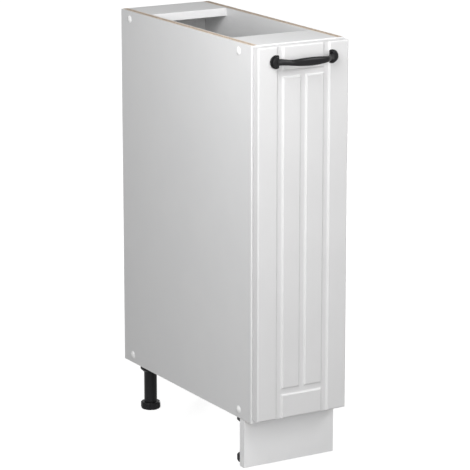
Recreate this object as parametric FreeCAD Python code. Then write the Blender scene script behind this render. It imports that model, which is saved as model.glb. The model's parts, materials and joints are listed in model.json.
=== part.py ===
import FreeCAD, Part
import math
import os

os.makedirs("parts", exist_ok=True)
V = FreeCAD.Vector

# All sizes are millimetres. X runs across the unit, the front faces -Y, Z is up from the floor.

# Carcass boards
carcass_width = 200.0
carcass_depth = 500.0
carcass_height = 720.0
board = 16.0
band = 2.0
band_round = 0.8
front_rail_depth = 96.0
rear_rail_depth = 96.0
back_board = 3.0
back_inset = 10.0
back_groove_depth = 7.0
back_side_play = 0.5
back_groove_play = 0.1

# Cover caps on the outside of the sides
cap_radius = 7.8
cap_edge = 0.4
cap_dome = 2.6
cap_stem_radius = 4.0
cap_stem = 4.5
cap_edge_inset = 16.0
cap_front_inset = 46.5
cap_rear_inset = 34.0

# Cam fittings and dowels between the horizontal boards and the sides
cam_radius = 7.5
cam_depth = 12.5
cam_end_inset = 34.0
cam_slot_width = 1.4
cam_slot_depth = 2.0
cam_bolt_radius = 3.0
cam_bolt_head_radius = 3.5
cam_bolt_head = 4.0
cam_thread_radius = 2.5
cam_thread = 10.0
cam_bolt_play = 0.2
bottom_cam_inset = 115.0
dowel_radius = 4.0
dowel_in_side = 10.0
dowel_in_board = 20.0
dowel_chamfer = 1.0
rail_dowel_offset = 28.0
bottom_dowel_inset = 15.0
hole_play = 0.05
hole_spare = 0.5

# Pilot holes for a worktop's screws and for screws to the units beside this one
worktop_pilot_radius = 2.0
worktop_pilot_depth = 11.0
worktop_pilot_spread = 40.0
link_hole_radius = 2.5
link_hole_depth = 12.0
link_hole_inset = 37.0
link_hole_rise = 188.0
link_hole_drop = 60.0

# Legs
leg_height = 96.0
leg_side_inset = 30.0
leg_plinth_gap = 1.5
leg_rear_inset = 53.0
socket_flange = 7.2
socket_height = 17.0
socket_rim = 12.0
socket_wall = 2.0
socket_top = 4.0
leg_tube_radius = 13.0
foot_radius = 20.0
foot_height = 14.5
foot_chamfer = 2.0
foot_scallop_radius = 6.0
foot_scallop_depth = 2.8
foot_scallops = 8
foot_gap = 0.4
spindle_radius = 5.0
spindle_length = 46.0
spindle_play = 0.3
socket_screw_radius = 1.75
socket_screw_head_radius = 2.6
socket_screw_head = 2.0
socket_screw_grip = 4.5
socket_screw_bite = 12.0
socket_screw_angles = (100.0, 180.0, 260.0)

# Plinth
plinth_setback = 25.0
plinth_board = 16.0
plinth_floor_gap = 1.0
plinth_top_gap = 1.0
clip_wing = 10.0
clip_plate_height = 30.0
clip_plate = 2.5
clip_arm = 2.5
clip_arm_height = 20.0
clip_reach_past_axis = 2.0
clip_play = 0.4
clip_screw_radius = 1.75
clip_screw_head_radius = 3.5
clip_screw_head = 2.0
clip_screw_bite = 10.0

# Runners, measured from the side's inner face
runner_front_inset = 4.0
runner_back_gap = 33.0
runner_rise = 48.0
runner_depth = 12.7
runner_height = 45.0
runner_sheet = 1.2
runner_channel = 3.3
runner_screw_gap = 0.5
runner_face_gap = 1.7
runner_lip_height = 2.3
runner_inner_gap = 1.6
ball_play = 0.3
ball_pitch = 24.0
ball_count = 9
cage_sheet = 0.8
cage_edge = 1.05
cage_end = 14.0
cage_hole_play = 0.1
runner_screw_radius = 1.75
runner_screw_head_radius = 3.2
runner_screw_head = 1.5
runner_screw_bite = 10.0
runner_screw_inset = 37.0

# Pull-out frame
carriage_sheet = 1.5
carriage_drop = 30.0
carriage_rise = 15.0
carriage_screw_length = 4.0
post_width = 30.0
post_depth = 15.0
post_wall = 1.5
post_top_gap = 103.5
post_end_inset = 8.0
post_foot_wing = 15.0
post_foot_depth = 34.0
post_foot_sheet = 3.0
post_screw_radius = 2.5
post_screw_head_radius = 4.2
post_screw_head = 2.5
post_screw_tail = 4.0
top_bar_width = 20.0
top_bar_wall = 1.5

# Wire baskets
basket_height = 110.0
lower_basket_rise = 20.0
upper_basket_drop = 142.0
basket_side_gap = 6.0
basket_end_gap = 6.0
basket_corner = 20.0
rim_radius = 3.0
wire_radius = 1.5
wire_bend = 9.0
wire_fold_run = 1.0
weld_depth = 0.6
belt_share = 0.55
cross_wires = 11
cross_wire_end = 42.0
long_wire_gap = 40.0
hanger_width = 26.0
hanger_sheet = 2.0
hanger_above_rim = 10.0
hanger_below_rim = 26.0
hanger_play = 0.15
hanger_lip = 1.0
hanger_screw_drop = 16.0
hanger_screw_radius = 2.0
hanger_screw_head_radius = 3.5
hanger_screw_head = 2.2
hanger_screw_tail = 4.0

# Front panel with routed grooves
front_gap = 4.0
front_thickness = 16.0
front_side_reveal = 2.0
front_top_reveal = 2.0
front_bottom_reveal = 7.0
front_edge_radius = 3.0
stile_width = 40.0
front_rail_height = 44.0
rout_width = 16.0
rout_floor = 6.0
rout_depth = 3.2
rout_overcut = 1.0

# Brackets between the posts and the front
bracket_width = 90.0
bracket_height = 40.0
bracket_sheet = 2.0
bracket_grip = 12.0
lower_bracket_rise = 180.0
upper_bracket_drop = 40.0
bracket_screw_radius = 2.0
bracket_screw_head_radius = 3.6
bracket_screw_head = 2.4
bracket_screw_bite = 11.0
bracket_screw_side = 13.0
bracket_screw_spread = 10.0
bracket_screw_tail = 3.0
bumper_radius = 4.0
bumper_gap = 0.3
bumper_inset = 40.0

# Handle, one casting: two feet that lie on the front, each rounded outwards and cut flat inwards, and a bow
handle_spacing = 128.0
handle_drop = 28.0
handle_projection = 30.0
handle_foot_radius = 12.8
handle_foot_offset = 3.5
handle_foot_flat = 9.3
handle_foot_rim = 3.0
handle_foot_step = 3.0
handle_foot_height = 8.0
handle_foot_round = 1.2
handle_screw_radius = 2.0
handle_screw_head_radius = 4.0
handle_screw_head = 2.8
handle_screw_bite = 6.0
handle_hole_play = 0.2

# Stations of the bow from one foot to the middle: how far in from the foot's screw, as a share of the half
# spacing, how far out from the front, as a share of the projection, and the section's height and thickness
bow_stations = (
    (0.06, 0.18, 12.5, 9.0),
    (0.14, 0.24, 12.2, 9.0),
    (0.24, 0.40, 11.4, 8.6),
    (0.32, 0.58, 10.8, 8.2),
    (0.42, 0.74, 11.4, 8.0),
    (0.58, 0.82, 13.4, 8.0),
    (0.78, 0.855, 15.2, 8.0),
    (1.00, 0.865, 16.0, 8.0),
)

# Cross recess in a screw's head, as shares of the head
recess_reach = 0.62
recess_width = 0.3
recess_depth = 0.6

# Derived planes of the carcass
overall_depth = carcass_depth + front_gap + front_thickness + handle_projection
back_y = overall_depth / 2
carcass_front_y = back_y - carcass_depth
outer_x = carcass_width / 2
inner_x = outer_x - board
bottom_z = leg_height
floor_z = bottom_z + board
top_z = bottom_z + carcass_height
rail_z = top_z - board
band_back_y = carcass_front_y + band

# Derived planes of the rails and the back
front_rail_back_y = carcass_front_y + front_rail_depth
rear_rail_front_y = back_y - rear_rail_depth
front_rail_middle_y = (carcass_front_y + front_rail_back_y) / 2
back_rear_y = back_y - back_inset
back_front_y = back_rear_y - back_board
rear_rail_middle_y = (rear_rail_front_y + back_front_y) / 2
back_bottom_z = floor_z - back_groove_depth
back_groove_top_z = rail_z + back_groove_depth

# Derived places of the plinth and the legs
plinth_front_y = carcass_front_y + plinth_setback
plinth_back_y = plinth_front_y + plinth_board
socket_radius = leg_tube_radius + socket_flange
socket_screw_circle = leg_tube_radius + socket_flange / 2
leg_x = outer_x - leg_side_inset
leg_front_y = plinth_back_y + leg_plinth_gap + max(foot_radius, socket_radius)
leg_rear_y = back_y - leg_rear_inset
leg_places = {
    "front_left": (-leg_x, leg_front_y),
    "front_right": (leg_x, leg_front_y),
    "rear_left": (-leg_x, leg_rear_y),
    "rear_right": (leg_x, leg_rear_y),
}
leg_tube_bottom_z = foot_height + foot_gap
leg_tube_top_z = bottom_z - socket_top
clip_z = (foot_height + bottom_z - socket_height) / 2
clip_near = leg_tube_radius + clip_play
clip_far = clip_near + clip_arm

# Derived sections of the runner members
runner_z = floor_z + runner_rise
runner_front_y = carcass_front_y + runner_front_inset
runner_rear_y = back_front_y - runner_back_gap
cabinet_half = runner_height / 2
middle_half = cabinet_half - runner_sheet - runner_channel
drawer_half = middle_half - runner_sheet - runner_channel
middle_web = runner_sheet + runner_screw_head + runner_screw_gap
drawer_flange = middle_web + runner_sheet + runner_inner_gap
runner_flange_reach = runner_depth - runner_face_gap
ball_radius = runner_channel / 2 - ball_play
cage_width = 2 * (ball_radius + cage_edge)
outer_ball_z = middle_half + runner_channel / 2
inner_ball_z = drawer_half + runner_channel / 2
outer_ball_depth = (middle_web + runner_flange_reach) / 2
inner_ball_depth = (drawer_flange + runner_flange_reach) / 2
runner_middle_y = (runner_front_y + runner_rear_y) / 2
runner_screw_places = (
    runner_front_y + runner_screw_inset,
    runner_middle_y,
    runner_rear_y - runner_screw_inset,
)

# Derived planes of the pull-out
front_back_y = carcass_front_y - front_gap
front_face_y = front_back_y - front_thickness
front_half_width = outer_x - front_side_reveal
front_top_z = top_z - front_top_reveal
front_bottom_z = bottom_z + front_bottom_reveal
handle_z = front_top_z - handle_drop
carriage_x = inner_x - runner_depth
carriage_bottom_z = runner_z - carriage_drop
carriage_floor_z = carriage_bottom_z + carriage_sheet
post_foot_top_z = carriage_floor_z + post_foot_sheet
post_foot_half = post_width / 2 + post_foot_wing
post_top_z = rail_z - post_top_gap
front_post_y = runner_front_y + post_end_inset
front_post_inner_y = front_post_y + post_depth
rear_post_y = runner_rear_y - post_end_inset
rear_post_inner_y = rear_post_y - post_depth
lower_bracket_z = front_bottom_z + lower_bracket_rise
upper_bracket_z = post_top_z - upper_bracket_drop
basket_bottoms = {
    "lower": carriage_floor_z + lower_basket_rise,
    "upper": post_top_z - top_bar_width - upper_basket_drop - basket_height,
}
basket_middle_y = (front_post_inner_y + rear_post_inner_y) / 2
rim_half_width = carriage_x - carriage_sheet - basket_side_gap - rim_radius
rim_half_length = (rear_post_inner_y - front_post_inner_y) / 2 - basket_end_gap - rim_radius
wire_inset = rim_radius + wire_radius - weld_depth
wire_fold = wire_bend + wire_fold_run
cross_wire_x = rim_half_width - wire_inset
long_wire_y = rim_half_length - wire_inset
long_wire_z = wire_radius
cross_wire_z = long_wire_z + 2 * wire_radius - weld_depth


def box(x0, x1, y0, y1, z0, z1):
    """A block between two corners."""
    return Part.makeBox(x1 - x0, y1 - y0, z1 - z0, V(x0, y0, z0))


def rod(radius, start, end):
    """A round bar between two points."""
    line = end - start
    return Part.makeCylinder(radius, line.Length, start, line)


def ring(points, axis_point):
    """A turned body from (radius, height) points about an upright axis."""
    corners = [V(axis_point.x + radius, axis_point.y, height) for radius, height in points]
    outline = Part.makePolygon(corners + corners[:1])
    return Part.Face(outline).revolve(axis_point, V(0, 0, 1), 360)


def joined(shapes):
    """One solid from pieces that share faces or run into each other."""
    return shapes[0].fuse(shapes[1:]).removeSplitter()


def mirrored(shape):
    """The same piece on the other side of the unit."""
    return shape.mirror(V(0, 0, 0), V(1, 0, 0))


def both_sides(shapes):
    """A list of right-hand pieces with their left-hand copies."""
    return list(shapes) + [mirrored(shape) for shape in shapes]


def save(name, shapes):
    """Write one node, a single solid or a group of alike solids."""
    solids = shapes if isinstance(shapes, list) else [shapes]
    solids = [solid for shape in solids for solid in shape.Solids]
    whole = solids[0] if len(solids) == 1 else Part.makeCompound(solids)
    whole.exportStep("parts/" + name + ".step")


def screw(point, direction, radius, length, head_radius, head):
    """A screw with a cross recess: point is under the head, direction runs along the shank."""
    along = V(direction)
    along.normalize()
    shank = rod(radius, point, point + along * length)
    top = rod(head_radius, point - along * head, point)
    reach = head_radius * recess_reach
    half = head_radius * recess_width / 2
    bars = [box(-reach, reach, -half, half, 0, head * recess_depth),
            box(-half, half, -reach, reach, 0, head * recess_depth)]
    recess = joined(bars)
    recess.Placement = FreeCAD.Placement(point - along * head, FreeCAD.Rotation(V(0, 0, 1), along))
    return joined([shank, top]).cut(recess)


def screw_hole(point, direction, radius, length):
    """The hole that takes a screw's shank."""
    along = V(direction)
    along.normalize()
    return rod(radius + hole_play, point, point + along * (length + hole_spare))


def horizontal_joints():
    """Places of cams and dowels along each horizontal board: underside height, cam Ys, dowel Ys."""
    front_y = front_rail_middle_y
    rear_y = rear_rail_middle_y
    bottom_cams = (carcass_front_y + bottom_cam_inset, back_y - bottom_cam_inset)
    bottom_dowels = (
        carcass_front_y + bottom_dowel_inset,
        (carcass_front_y + back_y) / 2,
        back_front_y - bottom_dowel_inset,
    )
    return {
        "front": (rail_z, (front_y,), (front_y - rail_dowel_offset, front_y + rail_dowel_offset)),
        "rear": (rail_z, (rear_y,), (rear_y - rail_dowel_offset, rear_y + rail_dowel_offset)),
        "bottom": (bottom_z, bottom_cams, bottom_dowels),
    }


def joint_cuts_in_board(place):
    """Cam pockets, bolt bores and dowel holes at both ends of one horizontal board."""
    under_z, cam_places, dowel_places = horizontal_joints()[place]
    middle_z = under_z + board / 2
    cam_x = inner_x - cam_end_inset
    cuts = []
    for y in cam_places:
        pocket_top = V(cam_x, y, under_z + cam_depth + hole_play)
        cuts.append(rod(cam_radius + hole_play, V(cam_x, y, under_z), pocket_top))
        bore = cam_bolt_head_radius + cam_bolt_play
        cuts.append(rod(bore, V(cam_x, y, middle_z), V(inner_x, y, middle_z)))
    for y in dowel_places:
        deep = inner_x - dowel_in_board - hole_spare
        cuts.append(rod(dowel_radius + hole_play, V(deep, y, middle_z), V(inner_x, y, middle_z)))
    return both_sides(cuts)


def joint_holes_in_side():
    """Blind holes in the right side's inner face for dowels and cam bolts."""
    cuts = []
    for under_z, cam_places, dowel_places in horizontal_joints().values():
        middle_z = under_z + board / 2
        for y in cam_places:
            deep = inner_x + cam_thread + hole_spare
            cuts.append(rod(cam_thread_radius + hole_play, V(inner_x, y, middle_z), V(deep, y, middle_z)))
        for y in dowel_places:
            deep = inner_x + dowel_in_side + hole_spare
            cuts.append(rod(dowel_radius + hole_play, V(inner_x, y, middle_z), V(deep, y, middle_z)))
    return cuts


def cap_places():
    """Y and Z of the cover caps on one side."""
    rows = (carcass_front_y + cap_front_inset, back_y - cap_rear_inset)
    heights = (bottom_z + cap_edge_inset, top_z - cap_edge_inset)
    return [(y, z) for y in rows for z in heights]


def runner_screws_in_side():
    """Screws of the right cabinet member."""
    under_head = inner_x - runner_sheet
    length = runner_sheet + runner_screw_bite
    return [
        screw(V(under_head, y, runner_z), V(1, 0, 0), runner_screw_radius, length,
              runner_screw_head_radius, runner_screw_head)
        for y in runner_screw_places
    ]


def runner_screw_holes_in_side():
    """Holes of those screws through the member and into the side."""
    under_head = inner_x - runner_sheet
    length = runner_sheet + runner_screw_bite
    return [screw_hole(V(under_head, y, runner_z), V(1, 0, 0), runner_screw_radius, length)
            for y in runner_screw_places]


def link_holes():
    """Blind pilot holes in the right side's inner face, near its front edge."""
    y = carcass_front_y + link_hole_inset
    heights = (floor_z + link_hole_rise, rail_z - link_hole_drop)
    return [rod(link_hole_radius, V(inner_x, y, z), V(inner_x + link_hole_depth, y, z)) for z in heights]


def worktop_pilots(y):
    """Blind pilot holes in the underside of one top rail."""
    half = worktop_pilot_spread / 2
    return [rod(worktop_pilot_radius, V(x, y, rail_z), V(x, y, rail_z + worktop_pilot_depth))
            for x in (-half, half)]


def side_panel():
    """Right side board with its groove and blind holes."""
    panel = box(inner_x, outer_x, band_back_y, back_y, bottom_z, top_z)
    groove = box(inner_x, inner_x + back_groove_depth, back_front_y - back_groove_play,
                 back_rear_y + back_groove_play, back_bottom_z, back_groove_top_z)
    cuts = [groove] + joint_holes_in_side() + runner_screw_holes_in_side() + link_holes()
    for y, z in cap_places():
        deep = outer_x - cap_stem - hole_spare
        cuts.append(rod(cap_stem_radius + hole_play, V(deep, y, z), V(outer_x, y, z)))
    return panel.cut(cuts)


def socket_screw_points(leg_place):
    """Places of one leg socket's screws, kept towards the middle of the bottom board."""
    x, y = leg_place
    outwards = math.copysign(1.0, x)
    turns = [math.radians(angle) for angle in socket_screw_angles]
    return [V(x + outwards * socket_screw_circle * math.cos(turn), y + socket_screw_circle * math.sin(turn),
              bottom_z - socket_screw_grip) for turn in turns]


def all_socket_screw_points():
    return [point for leg_place in leg_places.values() for point in socket_screw_points(leg_place)]


def socket_screw_length():
    return socket_screw_grip + socket_screw_bite


def socket_screw_holes():
    return [screw_hole(point, V(0, 0, 1), socket_screw_radius, socket_screw_length())
            for point in all_socket_screw_points()]


def bottom_panel():
    panel = box(-inner_x, inner_x, band_back_y, back_y, bottom_z, floor_z)
    groove = box(-inner_x, inner_x, back_front_y - back_groove_play, back_rear_y + back_groove_play,
                 back_bottom_z, floor_z)
    return panel.cut([groove] + joint_cuts_in_board("bottom") + socket_screw_holes())


def front_top_rail():
    rail = box(-inner_x, inner_x, band_back_y, front_rail_back_y, rail_z, top_z)
    return rail.cut(joint_cuts_in_board("front") + worktop_pilots(front_rail_middle_y))


def rear_top_rail():
    rail = box(-inner_x, inner_x, rear_rail_front_y + band, back_y, rail_z, top_z)
    groove = box(-inner_x, inner_x, back_front_y - back_groove_play, back_rear_y + back_groove_play,
                 rail_z, back_groove_top_z)
    return rail.cut([groove] + joint_cuts_in_board("rear") + worktop_pilots(rear_rail_middle_y))


def back_panel():
    """Thin back, standing in the bottom board's groove."""
    half = inner_x + back_groove_depth - back_side_play
    return box(-half, half, back_front_y, back_rear_y, back_bottom_z, back_groove_top_z - back_side_play)


def edge_band(x0, x1, front_y, z0, z1):
    """Band on a board's front edge, with its two long front corners rounded."""
    strip = box(x0, x1, front_y, front_y + band, z0, z1)
    half_way = (x1 - x0 + z1 - z0) / 2
    corners = [edge for edge in strip.Edges
               if edge.BoundBox.YMax < front_y + band / 2 and edge.Length > half_way]
    return strip.makeFillet(band_round, corners)


def cover_cap(y, z):
    """Domed cap with a stem in its blind hole."""
    dome_radius = (cap_radius ** 2 + cap_dome ** 2) / (2 * cap_dome)
    top_x = outer_x + cap_edge + cap_dome
    blank = rod(cap_radius, V(outer_x, y, z), V(top_x, y, z))
    head = blank.common(Part.makeSphere(dome_radius, V(top_x - dome_radius, y, z)))
    stem = rod(cap_stem_radius, V(outer_x - cap_stem, y, z), V(outer_x, y, z))
    return joined([head, stem])


def cam_housing(y, under_z):
    """Cam with its bolt mouth and the driver slot in its face."""
    cam_x = inner_x - cam_end_inset
    middle_z = under_z + board / 2
    body = rod(cam_radius, V(cam_x, y, under_z), V(cam_x, y, under_z + cam_depth))
    mouth = rod(cam_bolt_head_radius + cam_bolt_play, V(cam_x, y, middle_z), V(inner_x, y, middle_z))
    slot = box(cam_x - cam_radius, cam_x + cam_radius, y - cam_slot_width / 2, y + cam_slot_width / 2,
               under_z, under_z + cam_slot_depth)
    return body.cut([mouth, slot])


def cam_bolt(y, under_z):
    """Bolt from the side's inner face into the cam."""
    z = under_z + board / 2
    head_end = inner_x - cam_end_inset + cam_bolt_play
    thread = rod(cam_thread_radius, V(inner_x, y, z), V(inner_x + cam_thread, y, z))
    shank = rod(cam_bolt_radius, V(head_end + cam_bolt_head, y, z), V(inner_x, y, z))
    head = rod(cam_bolt_head_radius, V(head_end, y, z), V(head_end + cam_bolt_head, y, z))
    return joined([thread, shank, head])


def dowel(y, under_z):
    z = under_z + board / 2
    pin = rod(dowel_radius, V(inner_x - dowel_in_board, y, z), V(inner_x + dowel_in_side, y, z))
    ends = [edge for edge in pin.Edges if isinstance(edge.Curve, Part.Circle)]
    return pin.makeChamfer(dowel_chamfer, ends)


def save_carcass():
    save("right_side_panel", side_panel())
    save("left_side_panel", mirrored(side_panel()))
    save("bottom_panel", bottom_panel())
    save("front_top_rail", front_top_rail())
    save("rear_top_rail", rear_top_rail())
    save("back_panel", back_panel())
    save("side_edge_bands", both_sides([edge_band(inner_x, outer_x, carcass_front_y, bottom_z, top_z)]))
    save("bottom_edge_band", edge_band(-inner_x, inner_x, carcass_front_y, bottom_z, floor_z))
    save("front_rail_edge_band", edge_band(-inner_x, inner_x, carcass_front_y, rail_z, top_z))
    save("rear_rail_edge_band", edge_band(-inner_x, inner_x, rear_rail_front_y, rail_z, top_z))
    caps = [cover_cap(y, z) for y, z in cap_places()]
    save("right_cover_caps", caps)
    save("left_cover_caps", [mirrored(cap) for cap in caps])
    joints = horizontal_joints().values()
    save("cam_housings", both_sides([cam_housing(y, z) for z, cams, pins in joints for y in cams]))
    save("cam_bolts", both_sides([cam_bolt(y, z) for z, cams, pins in joints for y in cams]))
    save("dowels", both_sides([dowel(y, z) for z, cams, pins in joints for y in pins]))


def leg_socket(x, y):
    """Cup under the bottom board that holds the leg tube."""
    axis = V(x, y, 0)
    cup_z = bottom_z - socket_height
    bore = leg_tube_radius + hole_play
    cup = ring([(0, bottom_z), (socket_radius, bottom_z), (socket_radius, bottom_z - socket_rim),
                (bore + socket_wall, cup_z), (bore, cup_z), (bore, leg_tube_top_z),
                (0, leg_tube_top_z)], axis)
    cuts = []
    for point in socket_screw_points((x, y)):
        cuts.append(screw_hole(point, V(0, 0, 1), socket_screw_radius, socket_screw_length()))
        pocket = socket_screw_head_radius + hole_play
        cuts.append(rod(pocket, V(point.x, point.y, cup_z), point))
    return cup.cut(cuts)


def leg_tube(x, y):
    """Leg with a bore for the foot's spindle."""
    body = rod(leg_tube_radius, V(x, y, leg_tube_bottom_z), V(x, y, leg_tube_top_z))
    bore_top = foot_height + spindle_length + hole_spare
    bore = rod(spindle_radius + spindle_play, V(x, y, leg_tube_bottom_z), V(x, y, bore_top))
    return body.cut(bore)


def levelling_foot(x, y):
    """Lobed foot with its spindle."""
    base = ring([(0, 0), (foot_radius - foot_chamfer, 0), (foot_radius, foot_chamfer),
                 (foot_radius, foot_height - foot_chamfer), (foot_radius - foot_chamfer, foot_height),
                 (0, foot_height)], V(x, y, 0))
    reach = foot_radius + foot_scallop_radius - foot_scallop_depth
    scallops = []
    for number in range(foot_scallops):
        turn = math.radians(360.0 * (number + 0.5) / foot_scallops)
        place = V(x + reach * math.cos(turn), y + reach * math.sin(turn), 0)
        scallops.append(rod(foot_scallop_radius, place, place + V(0, 0, foot_height)))
    spindle = rod(spindle_radius, V(x, y, foot_height), V(x, y, foot_height + spindle_length))
    return joined([base.cut(scallops), spindle])


def save_legs():
    for place, (x, y) in leg_places.items():
        save("leg_socket_" + place, leg_socket(x, y))
        save("leg_tube_" + place, leg_tube(x, y))
        save("levelling_foot_" + place, levelling_foot(x, y))
    save("leg_socket_screws",
         [screw(point, V(0, 0, 1), socket_screw_radius, socket_screw_length(),
                socket_screw_head_radius, socket_screw_head) for point in all_socket_screw_points()])


def clip_screw_points():
    """Places under the heads of the right clip's screws."""
    offset = clip_far + clip_wing / 2
    return [V(leg_x + side * offset, plinth_back_y + clip_plate, clip_z) for side in (-1, 1)]


def clip_screw_holes():
    length = clip_plate + clip_screw_bite
    return [screw_hole(point, V(0, -1, 0), clip_screw_radius, length) for point in clip_screw_points()]


def plinth():
    board_blank = box(-outer_x, outer_x, plinth_front_y, plinth_back_y,
                      plinth_floor_gap, bottom_z - plinth_top_gap)
    return board_blank.cut(both_sides(clip_screw_holes()))


def plinth_clip():
    """Fork that slides over the front right leg tube."""
    half = clip_far + clip_wing
    plate = box(leg_x - half, leg_x + half, plinth_back_y, plinth_back_y + clip_plate,
                clip_z - clip_plate_height / 2, clip_z + clip_plate_height / 2)
    arms = []
    for inner, outer in ((-clip_far, -clip_near), (clip_near, clip_far)):
        arms.append(box(leg_x + inner, leg_x + outer, plinth_back_y, leg_front_y + clip_reach_past_axis,
                        clip_z - clip_arm_height / 2, clip_z + clip_arm_height / 2))
    return joined([plate] + arms).cut(clip_screw_holes())


def save_plinth():
    save("plinth_board", plinth())
    save("plinth_clips", both_sides([plinth_clip()]))
    screws = [screw(point, V(0, -1, 0), clip_screw_radius, clip_plate + clip_screw_bite,
                    clip_screw_head_radius, clip_screw_head) for point in clip_screw_points()]
    save("plinth_clip_screws", both_sides(screws))


def runner_bar(near, far, low, high):
    """A strip of the right runner, given by depth from the side and height from its middle."""
    return box(inner_x - far, inner_x - near, runner_front_y, runner_rear_y, runner_z + low, runner_z + high)


def channel(web_near, web_far, flange_near, flange_far, half):
    """A web with a flange along its top and bottom."""
    flange = half - runner_sheet
    return [
        runner_bar(web_near, web_far, -half, half),
        runner_bar(flange_near, flange_far, flange, half),
        runner_bar(flange_near, flange_far, -half, -flange),
    ]


def cabinet_member():
    """Outer channel on the side, with lips that keep the cage in."""
    bars = channel(0, runner_sheet, 0, runner_flange_reach, cabinet_half)
    flange = cabinet_half - runner_sheet
    lip = flange - runner_lip_height
    lip_near = runner_flange_reach - runner_sheet
    bars.append(runner_bar(lip_near, runner_flange_reach, lip, flange))
    bars.append(runner_bar(lip_near, runner_flange_reach, -flange, -lip))
    return joined(bars).cut(runner_screw_holes_in_side())


def middle_member():
    web_far = middle_web + runner_sheet
    return joined(channel(middle_web, web_far, middle_web, runner_flange_reach, middle_half))


def drawer_screw_length():
    return runner_sheet + carriage_sheet + carriage_screw_length


def drawer_screw_points():
    """Places under the heads of the screws between the right drawer member and the carriage."""
    x = inner_x - runner_depth + runner_sheet
    return [V(x, y, runner_z) for y in runner_screw_places]


def drawer_screw_holes():
    return [screw_hole(point, V(-1, 0, 0), runner_screw_radius, drawer_screw_length())
            for point in drawer_screw_points()]


def drawer_member():
    bars = channel(runner_depth - runner_sheet, runner_depth, drawer_flange, runner_depth, drawer_half)
    return joined(bars).cut(drawer_screw_holes())


def ball_centres(depth, height):
    """Centres of the balls in the upper and lower track of the right runner."""
    first = runner_middle_y - ball_pitch * (ball_count - 1) / 2
    return [V(inner_x - depth, first + number * ball_pitch, runner_z + side * height)
            for side in (-1, 1) for number in range(ball_count)]


def ball_cages(depth, height):
    """The two cage strips of one track of the right runner."""
    half_length = ball_pitch * (ball_count - 1) / 2 + cage_end
    strips = []
    for side in (-1, 1):
        middle_z = runner_z + side * height
        strip = box(inner_x - depth - cage_width / 2, inner_x - depth + cage_width / 2,
                    runner_middle_y - half_length, runner_middle_y + half_length,
                    middle_z - cage_sheet / 2, middle_z + cage_sheet / 2)
        holes = [rod(ball_radius + cage_hole_play, centre - V(0, 0, cage_sheet), centre + V(0, 0, cage_sheet))
                 for centre in ball_centres(depth, height)]
        strips.append(strip.cut(holes))
    return strips


def balls(depth, height):
    return [Part.makeSphere(ball_radius, centre) for centre in ball_centres(depth, height)]


def save_runners():
    members = {"cabinet": cabinet_member(), "middle": middle_member(), "drawer": drawer_member()}
    for name, member in members.items():
        save("right_runner_" + name + "_member", member)
        save("left_runner_" + name + "_member", mirrored(member))
    save("runner_cabinet_screws", both_sides(runner_screws_in_side()))
    drawer_screws = [screw(point, V(-1, 0, 0), runner_screw_radius, drawer_screw_length(),
                           runner_screw_head_radius, runner_screw_head) for point in drawer_screw_points()]
    save("runner_drawer_screws", both_sides(drawer_screws))
    save("outer_ball_cages", both_sides(ball_cages(outer_ball_depth, outer_ball_z)))
    save("inner_ball_cages", both_sides(ball_cages(inner_ball_depth, inner_ball_z)))
    save("outer_balls", both_sides(balls(outer_ball_depth, outer_ball_z)))
    save("inner_balls", both_sides(balls(inner_ball_depth, inner_ball_z)))


def post_screw_points():
    """Places under the heads of the screws in the post feet."""
    x = post_width / 2 + post_foot_wing / 2
    return [V(side * x, y, post_foot_top_z) for side in (-1, 1)
            for y in (front_post_y + post_depth / 2, rear_post_y - post_depth / 2)]


def post_screw_length():
    return post_foot_sheet + carriage_sheet + post_screw_tail


def post_screw_holes():
    return [screw_hole(point, V(0, 0, -1), post_screw_radius, post_screw_length())
            for point in post_screw_points()]


def carriage():
    """Folded sheet tray between the two drawer members."""
    top = runner_z + carriage_rise
    floor = box(-carriage_x, carriage_x, runner_front_y, runner_rear_y, carriage_bottom_z, carriage_floor_z)
    wall = box(carriage_x - carriage_sheet, carriage_x, runner_front_y, runner_rear_y, carriage_bottom_z, top)
    return joined([floor, wall, mirrored(wall)]).cut(both_sides(drawer_screw_holes()) + post_screw_holes())


def hanger_screw_points(inner_y, inwards):
    """Places under the heads of one post's hanger screws."""
    return [V(0, inner_y + inwards * hanger_sheet, bottom + basket_height - hanger_screw_drop)
            for bottom in basket_bottoms.values()]


def hanger_screw_length():
    return hanger_sheet + post_wall + hanger_screw_tail


def bracket_heights():
    return (lower_bracket_z, upper_bracket_z)


def bracket_post_screw_points():
    """Places under the heads of the screws through the brackets' right webs."""
    x = post_width / 2 + bracket_sheet
    y = front_post_y + bracket_grip / 2
    return [V(x, y, z) for z in bracket_heights()]


def bracket_post_screw_length():
    return bracket_sheet + post_wall + bracket_screw_tail


def bracket_post_screw_holes():
    holes = [screw_hole(point, V(-1, 0, 0), bracket_screw_radius, bracket_post_screw_length())
             for point in bracket_post_screw_points()]
    return both_sides(holes)


def post_foot_plate(outer_y, inwards):
    """Plate between one post and the carriage."""
    low, high = sorted((outer_y, outer_y + inwards * post_foot_depth))
    plate = box(-post_foot_half, post_foot_half, low, high, carriage_floor_z, post_foot_top_z)
    return plate.cut(post_screw_holes())


def post(inner_y, inwards):
    """Rectangular tube that stands on its foot plate."""
    low, high = sorted((inner_y, inner_y - inwards * post_depth))
    half = post_width / 2
    shell = box(-half, half, low, high, post_foot_top_z, post_top_z)
    hollow = box(-half + post_wall, half - post_wall, low + post_wall, high - post_wall,
                 post_foot_top_z, post_top_z)
    holes = [screw_hole(point, V(0, -inwards, 0), hanger_screw_radius, hanger_screw_length())
             for point in hanger_screw_points(inner_y, inwards)]
    return shell.cut([hollow] + holes)


def top_bar():
    """Square tube that ties the two posts together."""
    half = top_bar_width / 2
    z = post_top_z - top_bar_width
    bar = box(-half, half, front_post_inner_y, rear_post_inner_y, z, post_top_z)
    inside = half - top_bar_wall
    hollow = box(-inside, inside, front_post_inner_y, rear_post_inner_y, z + top_bar_wall,
                 post_top_z - top_bar_wall)
    return bar.cut(hollow)


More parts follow.
